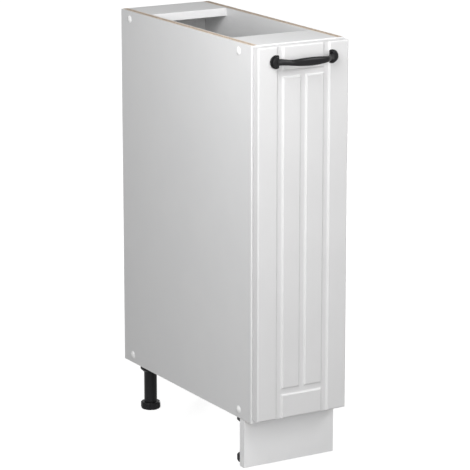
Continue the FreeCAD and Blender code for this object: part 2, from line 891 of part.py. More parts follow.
def wire_along(points, radius, bend):
    """A wire through corner points, with rounded corners and open ends."""
    pieces = []
    start = points[0]
    for corner, after in zip(points[1:-1], points[2:]):
        come = (corner - points[points.index(corner) - 1]).normalize()
        go = (after - corner).normalize()
        arc_start = corner - come * bend
        arc_end = corner + go * bend
        centre = corner + (go - come) * bend
        middle = centre - (go - come).normalize() * bend
        pieces.append(Part.LineSegment(start, arc_start).toShape())
        pieces.append(Part.Arc(arc_start, middle, arc_end).toShape())
        start = arc_end
    pieces.append(Part.LineSegment(start, points[-1]).toShape())
    path = Part.Wire(pieces)
    first = (points[1] - points[0]).normalize()
    section = Part.Wire([Part.Circle(points[0], first, radius).toShape()])
    return path.makePipeShell([section], True, True)


def hoop(radius, inset, z):
    """Right side bar, rear end bar and their corner, of a hoop that lies inset from the rim's line."""
    x = rim_half_width - inset
    y = rim_half_length - inset
    turn = basket_corner - inset
    side_bar = rod(radius, V(x, turn - y, z), V(x, y - turn, z))
    end_bar = rod(radius, V(turn - x, y, z), V(x - turn, y, z))
    corner = Part.makeTorus(turn, radius, V(x - turn, y - turn, z), V(0, 0, 1), 0, 360, 90)
    return side_bar, end_bar, corner


def basket_hoops():
    """The rim, and the thinner belt round the outside of the upright wires."""
    belt_inset = rim_radius - wire_radius
    return hoop(rim_radius, 0, basket_height), hoop(wire_radius, belt_inset, basket_height * belt_share)


def cross_wire_places():
    span = 2 * (rim_half_length - cross_wire_end)
    return [span * number / (cross_wires - 1) - span / 2 for number in range(cross_wires)]


def long_wire_places():
    inner = long_wire_gap / 2
    outer = (inner + cross_wire_x) / 2
    return (-outer, -inner, inner, outer)


def side_wall():
    """Right wall of a basket: its wires hang from the rim and fold onto the floor."""
    rim, belt = basket_hoops()
    wires = [wire_along([V(cross_wire_x, y, basket_height), V(cross_wire_x, y, cross_wire_z),
                         V(cross_wire_x - wire_fold, y, cross_wire_z)], wire_radius, wire_bend)
             for y in cross_wire_places()]
    return joined([rim[0], belt[0]] + wires)


def end_wall():
    """Rear wall of a basket, made like the side walls."""
    rim, belt = basket_hoops()
    wires = [wire_along([V(x, long_wire_y, basket_height), V(x, long_wire_y, long_wire_z),
                         V(x, long_wire_y - wire_fold, long_wire_z)], wire_radius, wire_bend)
             for x in long_wire_places()]
    return joined([rim[1], belt[1]] + wires)


def basket_floor():
    """Cross wires on long wires, between the walls' folds."""
    x = cross_wire_x - wire_fold
    y = long_wire_y - wire_fold
    cross = [rod(wire_radius, V(-x, place, cross_wire_z), V(x, place, cross_wire_z))
             for place in cross_wire_places()]
    along = [rod(wire_radius, V(place, -y, long_wire_z), V(place, y, long_wire_z))
             for place in long_wire_places()]
    return joined(cross + along)


def basket(bottom):
    """Welded wire basket: four walls, the corners of the rim and the belt, and the floor."""
    rear_pieces = [end_wall()] + both_sides([parts[2] for parts in basket_hoops()])
    front_pieces = [piece.mirror(V(0, 0, 0), V(0, 1, 0)) for piece in rear_pieces]
    pieces = both_sides([side_wall()]) + rear_pieces + front_pieces + [basket_floor()]
    return [piece.translated(V(0, basket_middle_y, bottom)) for piece in pieces]


def hanger(bottom, inner_y, inwards):
    """Folded hook on a post that carries one end of a basket's rim."""
    rim_z = bottom + basket_height
    half = hanger_width / 2
    rim_outer = basket_end_gap
    shelf_end = rim_outer + 2 * rim_radius + hanger_play + hanger_sheet
    shelf_top = rim_z - rim_radius - hanger_play

    def strip(near, far, low, high):
        y0, y1 = sorted((inner_y + inwards * near, inner_y + inwards * far))
        return box(-half, half, y0, y1, low, high)

    plate = strip(0, hanger_sheet, rim_z - hanger_below_rim, rim_z + hanger_above_rim)
    shelf = strip(0, shelf_end, shelf_top - hanger_sheet, shelf_top)
    lip = strip(shelf_end - hanger_sheet, shelf_end, shelf_top - hanger_sheet, rim_z + hanger_lip)
    holes = [screw_hole(point, V(0, -inwards, 0), hanger_screw_radius, hanger_screw_length())
             for point in hanger_screw_points(inner_y, inwards)]
    return joined([plate, shelf, lip]).cut(holes)


def save_pull_out_frame():
    save("carriage", carriage())
    save("front_post", post(front_post_inner_y, 1).cut(bracket_post_screw_holes()))
    save("rear_post", post(rear_post_inner_y, -1))
    save("post_foot_plates", [post_foot_plate(front_post_y, 1), post_foot_plate(rear_post_y, -1)])
    save("post_foot_screws",
         [screw(point, V(0, 0, -1), post_screw_radius, post_screw_length(),
                post_screw_head_radius, post_screw_head) for point in post_screw_points()])
    save("top_bar", top_bar())
    hangers = []
    screws = []
    for inner_y, inwards in ((front_post_inner_y, 1), (rear_post_inner_y, -1)):
        hangers += [hanger(bottom, inner_y, inwards) for bottom in basket_bottoms.values()]
        screws += [screw(point, V(0, -inwards, 0), hanger_screw_radius, hanger_screw_length(),
                         hanger_screw_head_radius, hanger_screw_head)
                   for point in hanger_screw_points(inner_y, inwards)]
    save("basket_hangers", hangers)
    save("basket_hanger_screws", screws)
    for place, bottom in basket_bottoms.items():
        save(place + "_basket", basket(bottom))


def rout_outline(point_at):
    """Section of a routed groove: coved walls that run into a flat floor."""
    run = (rout_width - rout_floor) / 2
    cove = (run ** 2 + rout_depth ** 2) / (2 * rout_depth)
    top_angle = math.atan2(cove - rout_depth, run)
    middle_angle = (top_angle + math.pi / 2) / 2
    half = rout_width / 2
    middle_across = rout_floor / 2 + cove * math.cos(middle_angle)
    middle_deep = rout_depth - cove + cove * math.sin(middle_angle)
    left_top = point_at(-half, 0)
    left_floor = point_at(-rout_floor / 2, rout_depth)
    right_floor = point_at(rout_floor / 2, rout_depth)
    right_top = point_at(half, 0)
    edges = [
        Part.Arc(left_top, point_at(-middle_across, middle_deep), left_floor).toShape(),
        Part.LineSegment(left_floor, right_floor).toShape(),
        Part.Arc(right_floor, point_at(middle_across, middle_deep), right_top).toShape(),
        Part.LineSegment(right_top, point_at(half, -rout_overcut)).toShape(),
        Part.LineSegment(point_at(half, -rout_overcut), point_at(-half, -rout_overcut)).toShape(),
        Part.LineSegment(point_at(-half, -rout_overcut), left_top).toShape(),
    ]
    return Part.Face(Part.Wire(edges))


def upright_rout(x, low, high):
    outline = rout_outline(lambda across, deep: V(x + across, front_face_y + deep, low))
    return outline.extrude(V(0, 0, high - low))


def level_rout(z, left, right):
    outline = rout_outline(lambda across, deep: V(left, front_face_y + deep, z + across))
    return outline.extrude(V(right - left, 0, 0))


def bracket_front_screw_points():
    """Places under the heads of the screws from the brackets into the front."""
    x = bracket_width / 2 - bracket_screw_side
    y = front_back_y + bracket_sheet
    return [V(side * x, y, z + rise) for z in bracket_heights() for side in (-1, 1)
            for rise in (-bracket_screw_spread, bracket_screw_spread)]


def bracket_front_screw_holes():
    length = bracket_sheet + bracket_screw_bite
    return [screw_hole(point, V(0, -1, 0), bracket_screw_radius, length)
            for point in bracket_front_screw_points()]


def front_panel():
    """Routed front: two full-height grooves, with two level grooves and a middle one between them."""
    slab = box(-front_half_width, front_half_width, front_face_y, front_back_y, front_bottom_z, front_top_z)
    rim = [edge for edge in slab.Edges if edge.BoundBox.YMax < front_face_y + front_thickness / 2]
    slab = slab.makeFillet(front_edge_radius, rim)
    side_x = front_half_width - stile_width - rout_width / 2
    upper_z = front_top_z - front_rail_height - rout_width / 2
    lower_z = front_bottom_z + front_rail_height + rout_width / 2
    slab = slab.cut([upright_rout(-side_x, front_bottom_z, front_top_z),
                     upright_rout(side_x, front_bottom_z, front_top_z)])
    slab = slab.cut([level_rout(upper_z, -side_x, side_x), level_rout(lower_z, -side_x, side_x)])
    slab = slab.cut(upright_rout(0, lower_z, upper_z))
    holes = bracket_front_screw_holes()
    for side in (-1, 1):
        x = side * handle_spacing / 2
        holes.append(rod(handle_screw_radius + handle_hole_play, V(x, front_face_y, handle_z),
                         V(x, front_back_y, handle_z)))
    return slab.cut(holes)


def front_bracket(z):
    """Plate on the front with two webs that straddle the front post."""
    half = post_width / 2
    plate = box(-bracket_width / 2, bracket_width / 2, front_back_y, front_back_y + bracket_sheet,
                z - bracket_height / 2, z + bracket_height / 2)
    web = box(half, half + bracket_sheet, front_back_y, front_post_y + bracket_grip,
              z - bracket_height / 2, z + bracket_height / 2)
    whole = joined([plate, web, mirrored(web)])
    return whole.cut(bracket_front_screw_holes() + bracket_post_screw_holes())


def front_bumpers():
    """Soft pads on the back of the front, over the sides' front edges."""
    x = inner_x + board / 2
    pads = []
    for z in (front_bottom_z + bumper_inset, front_top_z - bumper_inset):
        pads.append(rod(bumper_radius, V(x, front_back_y, z), V(x, carcass_front_y - bumper_gap, z)))
    return both_sides(pads)


def handle_foot_slab(inset, height):
    """Right foot's slab of one height, drawn in all round by the inset."""
    screw_x = handle_spacing / 2
    middle_x = screw_x - handle_foot_offset
    flat_x = screw_x - handle_foot_flat + inset
    radius = handle_foot_radius - inset
    half_flat = math.sqrt(radius ** 2 - (middle_x - flat_x) ** 2)
    upper = V(flat_x, front_face_y, handle_z + half_flat)
    lower = V(flat_x, front_face_y, handle_z - half_flat)
    outer = V(middle_x + radius, front_face_y, handle_z)
    outline = Part.Wire([Part.Arc(upper, outer, lower).toShape(), Part.LineSegment(lower, upper).toShape()])
    slab = Part.Face(outline).extrude(V(0, -height, 0))
    rim = [edge for edge in slab.Edges if edge.BoundBox.YMax < front_face_y - height / 2]
    return slab.makeFillet(handle_foot_round, rim)


def bow_sections():
    """Sections of the bow from the left foot to the right one, each square to the centre line."""
    half = handle_spacing / 2
    left = [(-half * (1 - inwards), handle_projection * out, height, thickness)
            for inwards, out, height, thickness in bow_stations]
    right = [(-x, out, height, thickness) for x, out, height, thickness in reversed(left[:-1])]
    stations = left + right
    centres = [V(x, front_face_y - out, handle_z) for x, out, height, thickness in stations]
    sections = []
    for number, (x, out, height, thickness) in enumerate(stations):
        before = centres[max(number - 1, 0)]
        after = centres[min(number + 1, len(centres) - 1)]
        sideways = V(0, 0, 1).cross(after - before).normalize()
        middle = centres[number]
        outline = Part.Ellipse(middle + V(0, 0, height / 2), middle + sideways * thickness / 2, middle)
        sections.append(Part.Wire([outline.toShape()]))
    return sections


def bow_handle():
    """One casting: the bow and its two feet, tapped for the screws."""
    feet = [handle_foot_slab(0, handle_foot_rim), handle_foot_slab(handle_foot_step, handle_foot_height)]
    bow = Part.makeLoft(bow_sections(), True, False)
    holes = [screw_hole(V(side * handle_spacing / 2, front_face_y, handle_z), V(0, -1, 0),
                        handle_screw_radius, handle_screw_bite) for side in (-1, 1)]
    return joined([bow] + both_sides(feet)).cut(holes)


def save_front():
    save("front_panel", front_panel())
    save("front_brackets", [front_bracket(z) for z in bracket_heights()])
    into_front = [screw(point, V(0, -1, 0), bracket_screw_radius, bracket_sheet + bracket_screw_bite,
                        bracket_screw_head_radius, bracket_screw_head)
                  for point in bracket_front_screw_points()]
    into_post = [screw(point, V(-1, 0, 0), bracket_screw_radius, bracket_post_screw_length(),
                       bracket_screw_head_radius, bracket_screw_head)
                 for point in bracket_post_screw_points()]
    save("front_bracket_screws", into_front + both_sides(into_post))
    save("front_bumpers", front_bumpers())
    save("bow_handle", bow_handle())
    handle_screws = [screw(V(side * handle_spacing / 2, front_back_y, handle_z), V(0, -1, 0),
                           handle_screw_radius, front_thickness + handle_screw_bite,
                           handle_screw_head_radius, handle_screw_head) for side in (-1, 1)]
    save("handle_screws", handle_screws)


save_carcass()
save_legs()
save_plinth()
save_runners()
save_pull_out_frame()
save_front()
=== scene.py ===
"""Finishes, studio and camera for the narrow pull-out base unit."""

import json
import math

import bpy
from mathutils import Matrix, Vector


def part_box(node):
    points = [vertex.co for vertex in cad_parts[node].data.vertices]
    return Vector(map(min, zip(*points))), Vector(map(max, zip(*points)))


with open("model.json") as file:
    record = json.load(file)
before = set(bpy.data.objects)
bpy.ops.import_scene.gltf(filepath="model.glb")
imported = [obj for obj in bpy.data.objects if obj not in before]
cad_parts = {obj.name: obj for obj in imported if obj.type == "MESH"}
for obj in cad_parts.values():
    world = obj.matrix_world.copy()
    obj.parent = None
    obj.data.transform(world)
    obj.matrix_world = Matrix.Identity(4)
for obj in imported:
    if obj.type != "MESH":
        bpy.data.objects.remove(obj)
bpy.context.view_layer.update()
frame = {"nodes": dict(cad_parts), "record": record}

# Darker and lighter shade of each finish, as linear red, green and blue
SHADES = {
    "board_white": ((0.736, 0.738, 0.742), (0.760, 0.761, 0.763)),
    "board_fines": ((0.76, 0.67, 0.58), (0.90, 0.82, 0.74)),
    "board_chips": ((0.28, 0.20, 0.135), (0.82, 0.67, 0.53)),
    "back_white": ((0.71, 0.708, 0.70), (0.74, 0.738, 0.732)),
    "back_fibre": ((0.21, 0.125, 0.066), (0.40, 0.26, 0.145)),
    "white_band": ((0.885, 0.885, 0.888), (0.91, 0.91, 0.912)),
    # The plinth's shades are lighter than the white board it is made of: painted light that makes up for
    # the shade under the front's overhang
    "white_plinth_painted_light": ((0.90, 0.90, 0.903), (0.92, 0.92, 0.922)),
    "front_film": ((0.738, 0.735, 0.737), (0.757, 0.754, 0.756)),
    "cap_plastic": ((0.88, 0.88, 0.88), (0.91, 0.91, 0.91)),
    "leg_plastic": ((0.007, 0.007, 0.008), (0.012, 0.012, 0.013)),
    "cage_plastic": ((0.62, 0.62, 0.60), (0.68, 0.68, 0.66)),
    "bumper_rubber": ((0.50, 0.50, 0.50), (0.56, 0.56, 0.56)),
    "cast_zinc": ((0.42, 0.42, 0.44), (0.60, 0.60, 0.61)),
    "zinc_steel": ((0.55, 0.56, 0.58), (0.72, 0.73, 0.75)),
    "ball_steel": ((0.66, 0.66, 0.67), (0.76, 0.76, 0.77)),
    "chrome_wire": ((0.47, 0.48, 0.50), (0.57, 0.575, 0.585)),
    "frame_paint": ((0.46, 0.47, 0.48), (0.64, 0.65, 0.66)),
    "handle_black": ((0.010, 0.010, 0.011), (0.016, 0.016, 0.017)),
    "beech": ((0.52, 0.33, 0.19), (0.68, 0.47, 0.30)),
}
BEECH_FLECK = (0.30, 0.16, 0.08, 1.0)
DUST_ON_PLASTIC = (0.46, 0.44, 0.41, 1.0)
DUST_ON_FRAME = (0.60, 0.59, 0.57, 1.0)
DUST_ON_HANDLE = (0.45, 0.44, 0.42, 1.0)
WHITE = (1.0, 1.0, 1.0, 1.0)

# Share of the dust veil that shows on each
PLASTIC_DUST = 0.03
FRAME_DUST = 0.12
HANDLE_DUST = 0.012

# Cut chipboard: white skin, depths under a face between which fine layer turns to core, and its chips
SKIN = 0.0006
CORE_DEPTHS = (0.0020, 0.0065)
CUT_FACING = 0.6
CHIPS_PER_METRE = 250.0
CHIP_FLATNESS = 2.6
CHIP_BEND = 0.0022

# Half lengths along the handle between which its hand-worn middle ends
GRIP_ENDS = (0.020, 0.052)

# The part of its 0 to 1 range that a noise mostly fills
NOISE_SPREAD = (0.3, 0.7)

# Camera, fitted to the corners of the carcass, the front and the plinth
CAMERA_PLACE = (-2.490, -4.2023, 1.6216)
CAMERA_HEADING = math.radians(30.631)
CAMERA_DIP = math.radians(14.024)
CAMERA_LENS = 198.3
SENSOR_WIDTH = 36.0

# Lamps: place, point aimed at, size across and power
LAMPS = {
    "key_lamp": ((-1.0, -2.4, 1.0), (-0.05, -0.2, 0.4), 1.6, 28.8),
    "top_lamp": ((-0.5, -0.55, 1.35), (-0.1, -0.2, 0.7), 0.6, 5.7),
    "side_lamp": ((-1.5, -0.6, 1.1), (-0.1, -0.1, 0.6), 1.0, 7.7),
    "fill_lamp": ((1.0, -1.5, 1.55), (0.0, -0.1, 0.5), 0.7, 9.6),
    "back_lamp": ((1.9, 1.7, 0.45), (0.0, 0.1, 0.42), 0.9, 27.0),
}
AMBIENT = 0.131

# Floor: its fill grows to full white between the two distances of the fade
FLOOR_HALF = 9.0
FLOOR_LIFT = -0.0003
FLOOR_GREY = (0.24, 0.24, 0.24, 1.0)
FLOOR_ROUGHNESS = 0.9
FLOOR_FILL = 0.90
FLOOR_FADE = (0.6, 2.2)


def put(tree, kind, inputs=None, **settings):
    """One shader node; an input takes a value or the socket that feeds it."""
    made = tree.nodes.new("ShaderNode" + kind)
    for name, value in settings.items():
        setattr(made, name, value)
    for key, value in (inputs or {}).items():
        if isinstance(value, bpy.types.NodeSocket):
            tree.links.new(value, made.inputs[key])
        else:
            made.inputs[key].default_value = value
    return made


def worked(tree, operation, first, second=0.0, third=0.0):
    """The result of one sum on numbers."""
    return put(tree, "Math", {0: first, 1: second, 2: third}, operation=operation).outputs[0]


def between(tree, share, low, high):
    """A number between two others."""
    return worked(tree, "MULTIPLY_ADD", share, high - low, low)


def weighed(tree, first, first_weight, second, second_weight):
    """Two numbers added, each with its weight."""
    weighed_second = worked(tree, "MULTIPLY", second, second_weight)
    return worked(tree, "MULTIPLY_ADD", first, first_weight, weighed_second)


def ramped(tree, value, low, high, to_low=0.0, to_high=1.0):
    """A number spread smoothly from one range onto another."""
    spread = put(tree, "MapRange", {"Value": value, "From Min": low, "From Max": high,
                                    "To Min": to_low, "To Max": to_high}, interpolation_type="SMOOTHSTEP")
    return spread.outputs["Result"]


def blended(tree, share, first, second):
    """A colour between two others."""
    return put(tree, "Mix", {0: share, 6: first, 7: second}, data_type="RGBA").outputs[2]


def shaded(tree, share, finish_name):
    """A colour between the two shades of a finish."""
    dark, light = SHADES[finish_name]
    return blended(tree, share, (*dark, 1.0), (*light, 1.0))


def noise(tree, place, scale, detail=3.0, rough=0.55):
    """Cloudy noise from 0 to 1."""
    return put(tree, "TexNoise", {"Vector": place, "Scale": scale, "Detail": detail,
                                  "Roughness": rough}).outputs["Fac"]


def cells(tree, place, scale):
    """Outputs of a pattern of packed cells."""
    return put(tree, "TexVoronoi", {"Vector": place, "Scale": scale}).outputs


def red_of(tree, colour):
    """One channel of a random colour, as a random number."""
    return put(tree, "SeparateColor", {"Color": colour}).outputs["Red"]


def own_place(tree):
    """Position on the piece itself, so a finish moves with its body."""
    return put(tree, "TexCoord").outputs["Object"]


def reckoned(tree, operation, first, second=(0.0, 0.0, 0.0), third=(0.0, 0.0, 0.0)):
    """The outputs of one sum on vectors."""
    return put(tree, "VectorMath", {0: first, 1: second, 2: third}, operation=operation).outputs


def stretched(tree, place, factors):
    """A place scaled by its own factor along each axis."""
    return reckoned(tree, "MULTIPLY", place, factors)["Vector"]


def dented(tree, height, depth):
    """The surface normal after a bump of that depth in metres."""
    return put(tree, "Bump", {"Height": height, "Distance": depth, "Strength": 1.0}).outputs["Normal"]


def new_group(name, inputs, outputs):
    """A node group with named sockets; returns the tree, its entry sockets and its exit node."""
    tree = bpy.data.node_groups.new(name, "ShaderNodeTree")
    kinds = {"value": "NodeSocketFloat", "vector": "NodeSocketVector", "colour": "NodeSocketColor"}
    for direction, sockets in (("INPUT", inputs), ("OUTPUT", outputs)):
        for socket_name, kind in sockets:
            tree.interface.new_socket(name=socket_name, in_out=direction, socket_type=kinds[kind])
    entry = tree.nodes.new("NodeGroupInput").outputs
    leave = tree.nodes.new("NodeGroupOutput")
    return tree, entry, leave


def fine_relief_group():
    """Close grain of a pressed, moulded or sprayed surface, and a slow unevenness."""
    tree, entry, leave = new_group("fine_relief", [("Grain scale", "value"), ("Mottle scale", "value")],
                                   [("Grain", "value"), ("Mottle", "value")])
    place = own_place(tree)
    grain = noise(tree, place, entry["Grain scale"], detail=4.0, rough=0.6)
    slow = noise(tree, place, entry["Mottle scale"])
    tree.links.new(grain, leave.inputs["Grain"])
    tree.links.new(ramped(tree, slow, *NOISE_SPREAD), leave.inputs["Mottle"])
    return tree


def raw_edge_group():
    """Where a faced board shows its cut chipboard, between the two white faces, and how that looks."""
    tree, entry, leave = new_group(
        "raw_board_edge",
        [("Across", "vector"), ("Near face", "value"), ("Far face", "value")],
        [("Raw", "value"), ("Chip colour", "colour"), ("Chip height", "value")])
    coords = put(tree, "TexCoord").outputs
    place = coords["Object"]
    facing = reckoned(tree, "DOT_PRODUCT", coords["Normal"], entry["Across"])["Value"]
    along = reckoned(tree, "DOT_PRODUCT", place, entry["Across"])["Value"]

    # Depth under the nearer face, and the cut edge where that is past the white skin
    from_middle = worked(tree, "ABSOLUTE", along)
    past_near = worked(tree, "SUBTRACT", from_middle, entry["Near face"])
    past_far = worked(tree, "SUBTRACT", entry["Far face"], from_middle)
    inside = worked(tree, "MINIMUM", past_near, past_far)
    under_skin = ramped(tree, inside, SKIN, SKIN * 1.6)
    edge_on = worked(tree, "LESS_THAN", worked(tree, "ABSOLUTE", facing), CUT_FACING)
    tree.links.new(worked(tree, "MULTIPLY", edge_on, under_skin), leave.inputs["Raw"])

    # Flat, bent chips in the core, fine sawdust under the faces
    flattened = reckoned(tree, "MULTIPLY_ADD", entry["Across"], (CHIP_FLATNESS,) * 3, (1.0, 1.0, 1.0))
    flat_place = stretched(tree, place, flattened["Vector"])
    wander = put(tree, "TexNoise", {"Vector": flat_place, "Scale": 420.0, "Detail": 2.0}).outputs["Color"]
    bent_place = reckoned(tree, "MULTIPLY_ADD", wander, (CHIP_BEND,) * 3, flat_place)["Vector"]
    chips = cells(tree, bent_place, CHIPS_PER_METRE)
    fines = noise(tree, place, 2300.0)
    core = ramped(tree, inside, *CORE_DEPTHS)
    chip_tone = weighed(tree, red_of(tree, chips["Color"]), 0.6, fines, 0.4)
    colour = blended(tree, core, shaded(tree, fines, "board_fines"), shaded(tree, chip_tone, "board_chips"))
    tree.links.new(colour, leave.inputs["Chip colour"])
    bulge = ramped(tree, chips["Distance"], 0.1, 0.75, 1.0, 0.0)
    tree.links.new(worked(tree, "MULTIPLY_ADD", bulge, core, fines), leave.inputs["Chip height"])
    return tree


def settled_dust_group():
    """A thin veil on what looks up, in patches."""
    tree, entry, leave = new_group("settled_dust", [("Patch scale", "value")], [("Dust", "value")])
    coords = put(tree, "TexCoord").outputs
    upward = put(tree, "SeparateXYZ", {0: coords["Normal"]}).outputs["Z"]
    patches = noise(tree, coords["Object"], entry["Patch scale"], detail=5.0, rough=0.65)
    veil = worked(tree, "MULTIPLY", ramped(tree, upward, 0.25, 1.0), ramped(tree, patches, 0.35, 0.75))
    tree.links.new(veil, leave.inputs["Dust"])
    return tree


def metal_marks_group():
    """Draw or roll lines along the stretch, and slow clouds of the plating."""
    tree, entry, leave = new_group("metal_marks", [("Stretch", "vector"), ("Cloud scale", "value")],
                                   [("Line", "value"), ("Cloud", "value")])
    place = own_place(tree)
    lines = noise(tree, stretched(tree, place, entry["Stretch"]), 1.0, detail=4.0, rough=0.65)
    clouds = noise(tree, place, entry["Cloud scale"], detail=4.0, rough=0.6)
    tree.links.new(ramped(tree, lines, 0.25, 0.75), leave.inputs["Line"])
    tree.links.new(ramped(tree, clouds, *NOISE_SPREAD), leave.inputs["Cloud"])
    return tree


FINE_RELIEF = fine_relief_group()
RAW_EDGE = raw_edge_group()
SETTLED_DUST = settled_dust_group()
METAL_MARKS = metal_marks_group()


def placed(tree, group, values):
    """One use of a node group with its own values; returns its outputs."""
    made = put(tree, "Group", node_tree=group)
    for name, value in values.items():
        made.inputs[name].default_value = value
    return made.outputs


def relief_of(tree, grain_scale, mottle_scale):
    """Grain and mottle of a surface."""
    return placed(tree, FINE_RELIEF, {"Grain scale": grain_scale, "Mottle scale": mottle_scale})


def dust_of(tree, patch_scale, share):
    """The share of settled dust that shows."""
    veil = placed(tree, SETTLED_DUST, {"Patch scale": patch_scale})["Dust"]
    return worked(tree, "MULTIPLY", veil, share)


def new_finish(name, constants=None):
    """A material with its Principled shader; constants are set on the shader's own sockets."""
    material = bpy.data.materials.new(name)
    material.use_nodes = True
    tree = material.node_tree
    shader = tree.nodes["Principled BSDF"]
    for socket_name, value in (constants or {}).items():
        shader.inputs[socket_name].default_value = value
    return material, tree, shader


def feed(tree, shader, colour, rough, normal):
    """Links what varies over the surface to the shader."""
    tree.links.new(colour, shader.inputs["Base Color"])
    tree.links.new(rough, shader.inputs["Roughness"])
    tree.links.new(normal, shader.inputs["Normal"])


def faced_board(name, across, near_face, far_face):
    """White melamine on chipboard: pearl-grained faces, bare chips on the cut edges."""
    material, tree, shader = new_finish(name)
    relief = relief_of(tree, grain_scale=1500.0, mottle_scale=7.0)
    edge = placed(tree, RAW_EDGE, {"Across": across, "Near face": near_face, "Far face": far_face})
    white = shaded(tree, relief["Mottle"], "board_white")
    colour = blended(tree, edge["Raw"], white, edge["Chip colour"])
    face_rough = between(tree, relief["Mottle"], 0.40, 0.46)
    rough = worked(tree, "MULTIPLY_ADD", edge["Raw"], 0.45, face_rough)
    bare_height = worked(tree, "MULTIPLY", edge["Raw"], edge["Chip height"])
    height = weighed(tree, relief["Grain"], 0.05, bare_height, 0.7)
    feed(tree, shader, colour, rough, dented(tree, height, depth=0.0004))
    return material


def level_board(name, node):
    """A faced board that lies level, with its faces where that CAD node has them."""
    low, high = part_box(node)
    return faced_board(name, (0.0, 0.0, 1.0), low.z, high.z)


def white_foil(name, grain_scale, roughness):
    """White foil or band: a flat sheet of plastic with a close grain."""
    material, tree, shader = new_finish(name)
    relief = relief_of(tree, grain_scale, mottle_scale=9.0)
    # For the plinth these shades carry painted light: they are lighter than its board, making up for the
    # shade under the front
    colour = shaded(tree, relief["Mottle"], name)
    rough = between(tree, relief["Mottle"], roughness, roughness + 0.07)
    feed(tree, shader, colour, rough, dented(tree, relief["Grain"], depth=0.00002))
    return material


def back_board():
    """Thin fibreboard: white lacquer on the face that looks into the unit, bare fibre elsewhere."""
    material, tree, shader = new_finish("back_board")
    relief = relief_of(tree, grain_scale=1100.0, mottle_scale=8.0)
    coords = put(tree, "TexCoord").outputs
    facing = put(tree, "SeparateXYZ", {0: coords["Normal"]}).outputs["Y"]
    bare = worked(tree, "GREATER_THAN", facing, -0.5)
    fibre_place = stretched(tree, coords["Object"], (900.0, 900.0, 240.0))
    fibres = noise(tree, fibre_place, 1.0, detail=5.0, rough=0.7)
    fibre_colour = shaded(tree, ramped(tree, fibres, 0.3, 0.72), "back_fibre")
    colour = blended(tree, bare, shaded(tree, relief["Mottle"], "back_white"), fibre_colour)
    lacquer_rough = between(tree, relief["Mottle"], 0.44, 0.50)
    rough = worked(tree, "MULTIPLY_ADD", bare, 0.35, lacquer_rough)
    height = weighed(tree, worked(tree, "MULTIPLY", bare, fibres), 0.8, relief["Grain"], 0.15)
    feed(tree, shader, colour, rough, dented(tree, height, depth=0.00012))
    return material


def moulded_plastic(name, roughness, gloss=0.5):
    """Moulded plastic or rubber with a spark-eroded grain and a little dust on top."""
    material, tree, shader = new_finish(name, {"Specular IOR Level": gloss})
    relief = relief_of(tree, grain_scale=1700.0, mottle_scale=22.0)
    dust = dust_of(tree, 45.0, PLASTIC_DUST)
    colour = blended(tree, dust, shaded(tree, relief["Mottle"], name), DUST_ON_PLASTIC)
    clean_rough = between(tree, relief["Mottle"], roughness, roughness + 0.08)
    rough = worked(tree, "MULTIPLY_ADD", dust, 0.5, clean_rough)
    feed(tree, shader, colour, rough, dented(tree, relief["Grain"], depth=0.00006))
    return material


def plated_steel(name, stretch, roughness, rough_spread, line_depth):
    """Plated or polished metal: draw lines along it and clouds in the plating."""
    material, tree, shader = new_finish(name, {"Metallic": 1.0})
    marks = placed(tree, METAL_MARKS, {"Stretch": stretch, "Cloud scale": 60.0})
    tone = weighed(tree, marks["Line"], 0.4, marks["Cloud"], 0.6)
    colour = shaded(tree, tone, name)
    rough = between(tree, tone, roughness, roughness + rough_spread)
    feed(tree, shader, colour, rough, dented(tree, marks["Line"], line_depth))
    return material


def zinc_casting():
    """Raw pressure casting: cloudy, lightly pitted grey metal."""
    material, tree, shader = new_finish("cast_zinc", {"Metallic": 1.0})
    marks = placed(tree, METAL_MARKS, {"Stretch": (260.0, 260.0, 260.0), "Cloud scale": 150.0})
    pits = cells(tree, own_place(tree), 900.0)["Distance"]
    colour = shaded(tree, marks["Cloud"], "cast_zinc")
    rough = between(tree, marks["Line"], 0.40, 0.54)
    height = worked(tree, "ADD", ramped(tree, pits, 0.0, 0.35), marks["Line"])
    feed(tree, shader, colour, rough, dented(tree, height, depth=0.00008))
    return material


def frame_powder_coat():
    """Silver-grey powder coat on the pull-out frame: orange peel and fine flake."""
    material, tree, shader = new_finish("frame_paint", {"Metallic": 0.35})
    relief = relief_of(tree, grain_scale=520.0, mottle_scale=16.0)
    dust = dust_of(tree, 30.0, FRAME_DUST)
    glint = red_of(tree, cells(tree, own_place(tree), 2600.0)["Color"])
    tone = weighed(tree, glint, 0.45, relief["Mottle"], 0.35)
    colour = blended(tree, dust, shaded(tree, tone, "frame_paint"), DUST_ON_FRAME)
    rough = worked(tree, "ADD", between(tree, relief["Mottle"], 0.36, 0.44), dust)
    feed(tree, shader, colour, rough, dented(tree, relief["Grain"], depth=0.00005))
    return material


def handle_lacquer():
    """Black lacquer on the handle, a little smoother where hands take the bow."""
    material, tree, shader = new_finish("handle_black", {"Specular IOR Level": 0.16})
    relief = relief_of(tree, grain_scale=1250.0, mottle_scale=40.0)
    dust = dust_of(tree, 60.0, HANDLE_DUST)
    along = put(tree, "SeparateXYZ", {0: own_place(tree)}).outputs["X"]
    gripped = ramped(tree, worked(tree, "ABSOLUTE", along), *GRIP_ENDS, 1.0, 0.0)
    rubbed = worked(tree, "MULTIPLY", gripped, relief["Mottle"])
    colour = blended(tree, dust, shaded(tree, relief["Mottle"], "handle_black"), DUST_ON_HANDLE)
    even_rough = between(tree, relief["Mottle"], 0.27, 0.32)
    rough = worked(tree, "MULTIPLY_ADD", rubbed, -0.07, even_rough)
    feed(tree, shader, colour, rough, dented(tree, relief["Grain"], depth=0.00004))
    return material


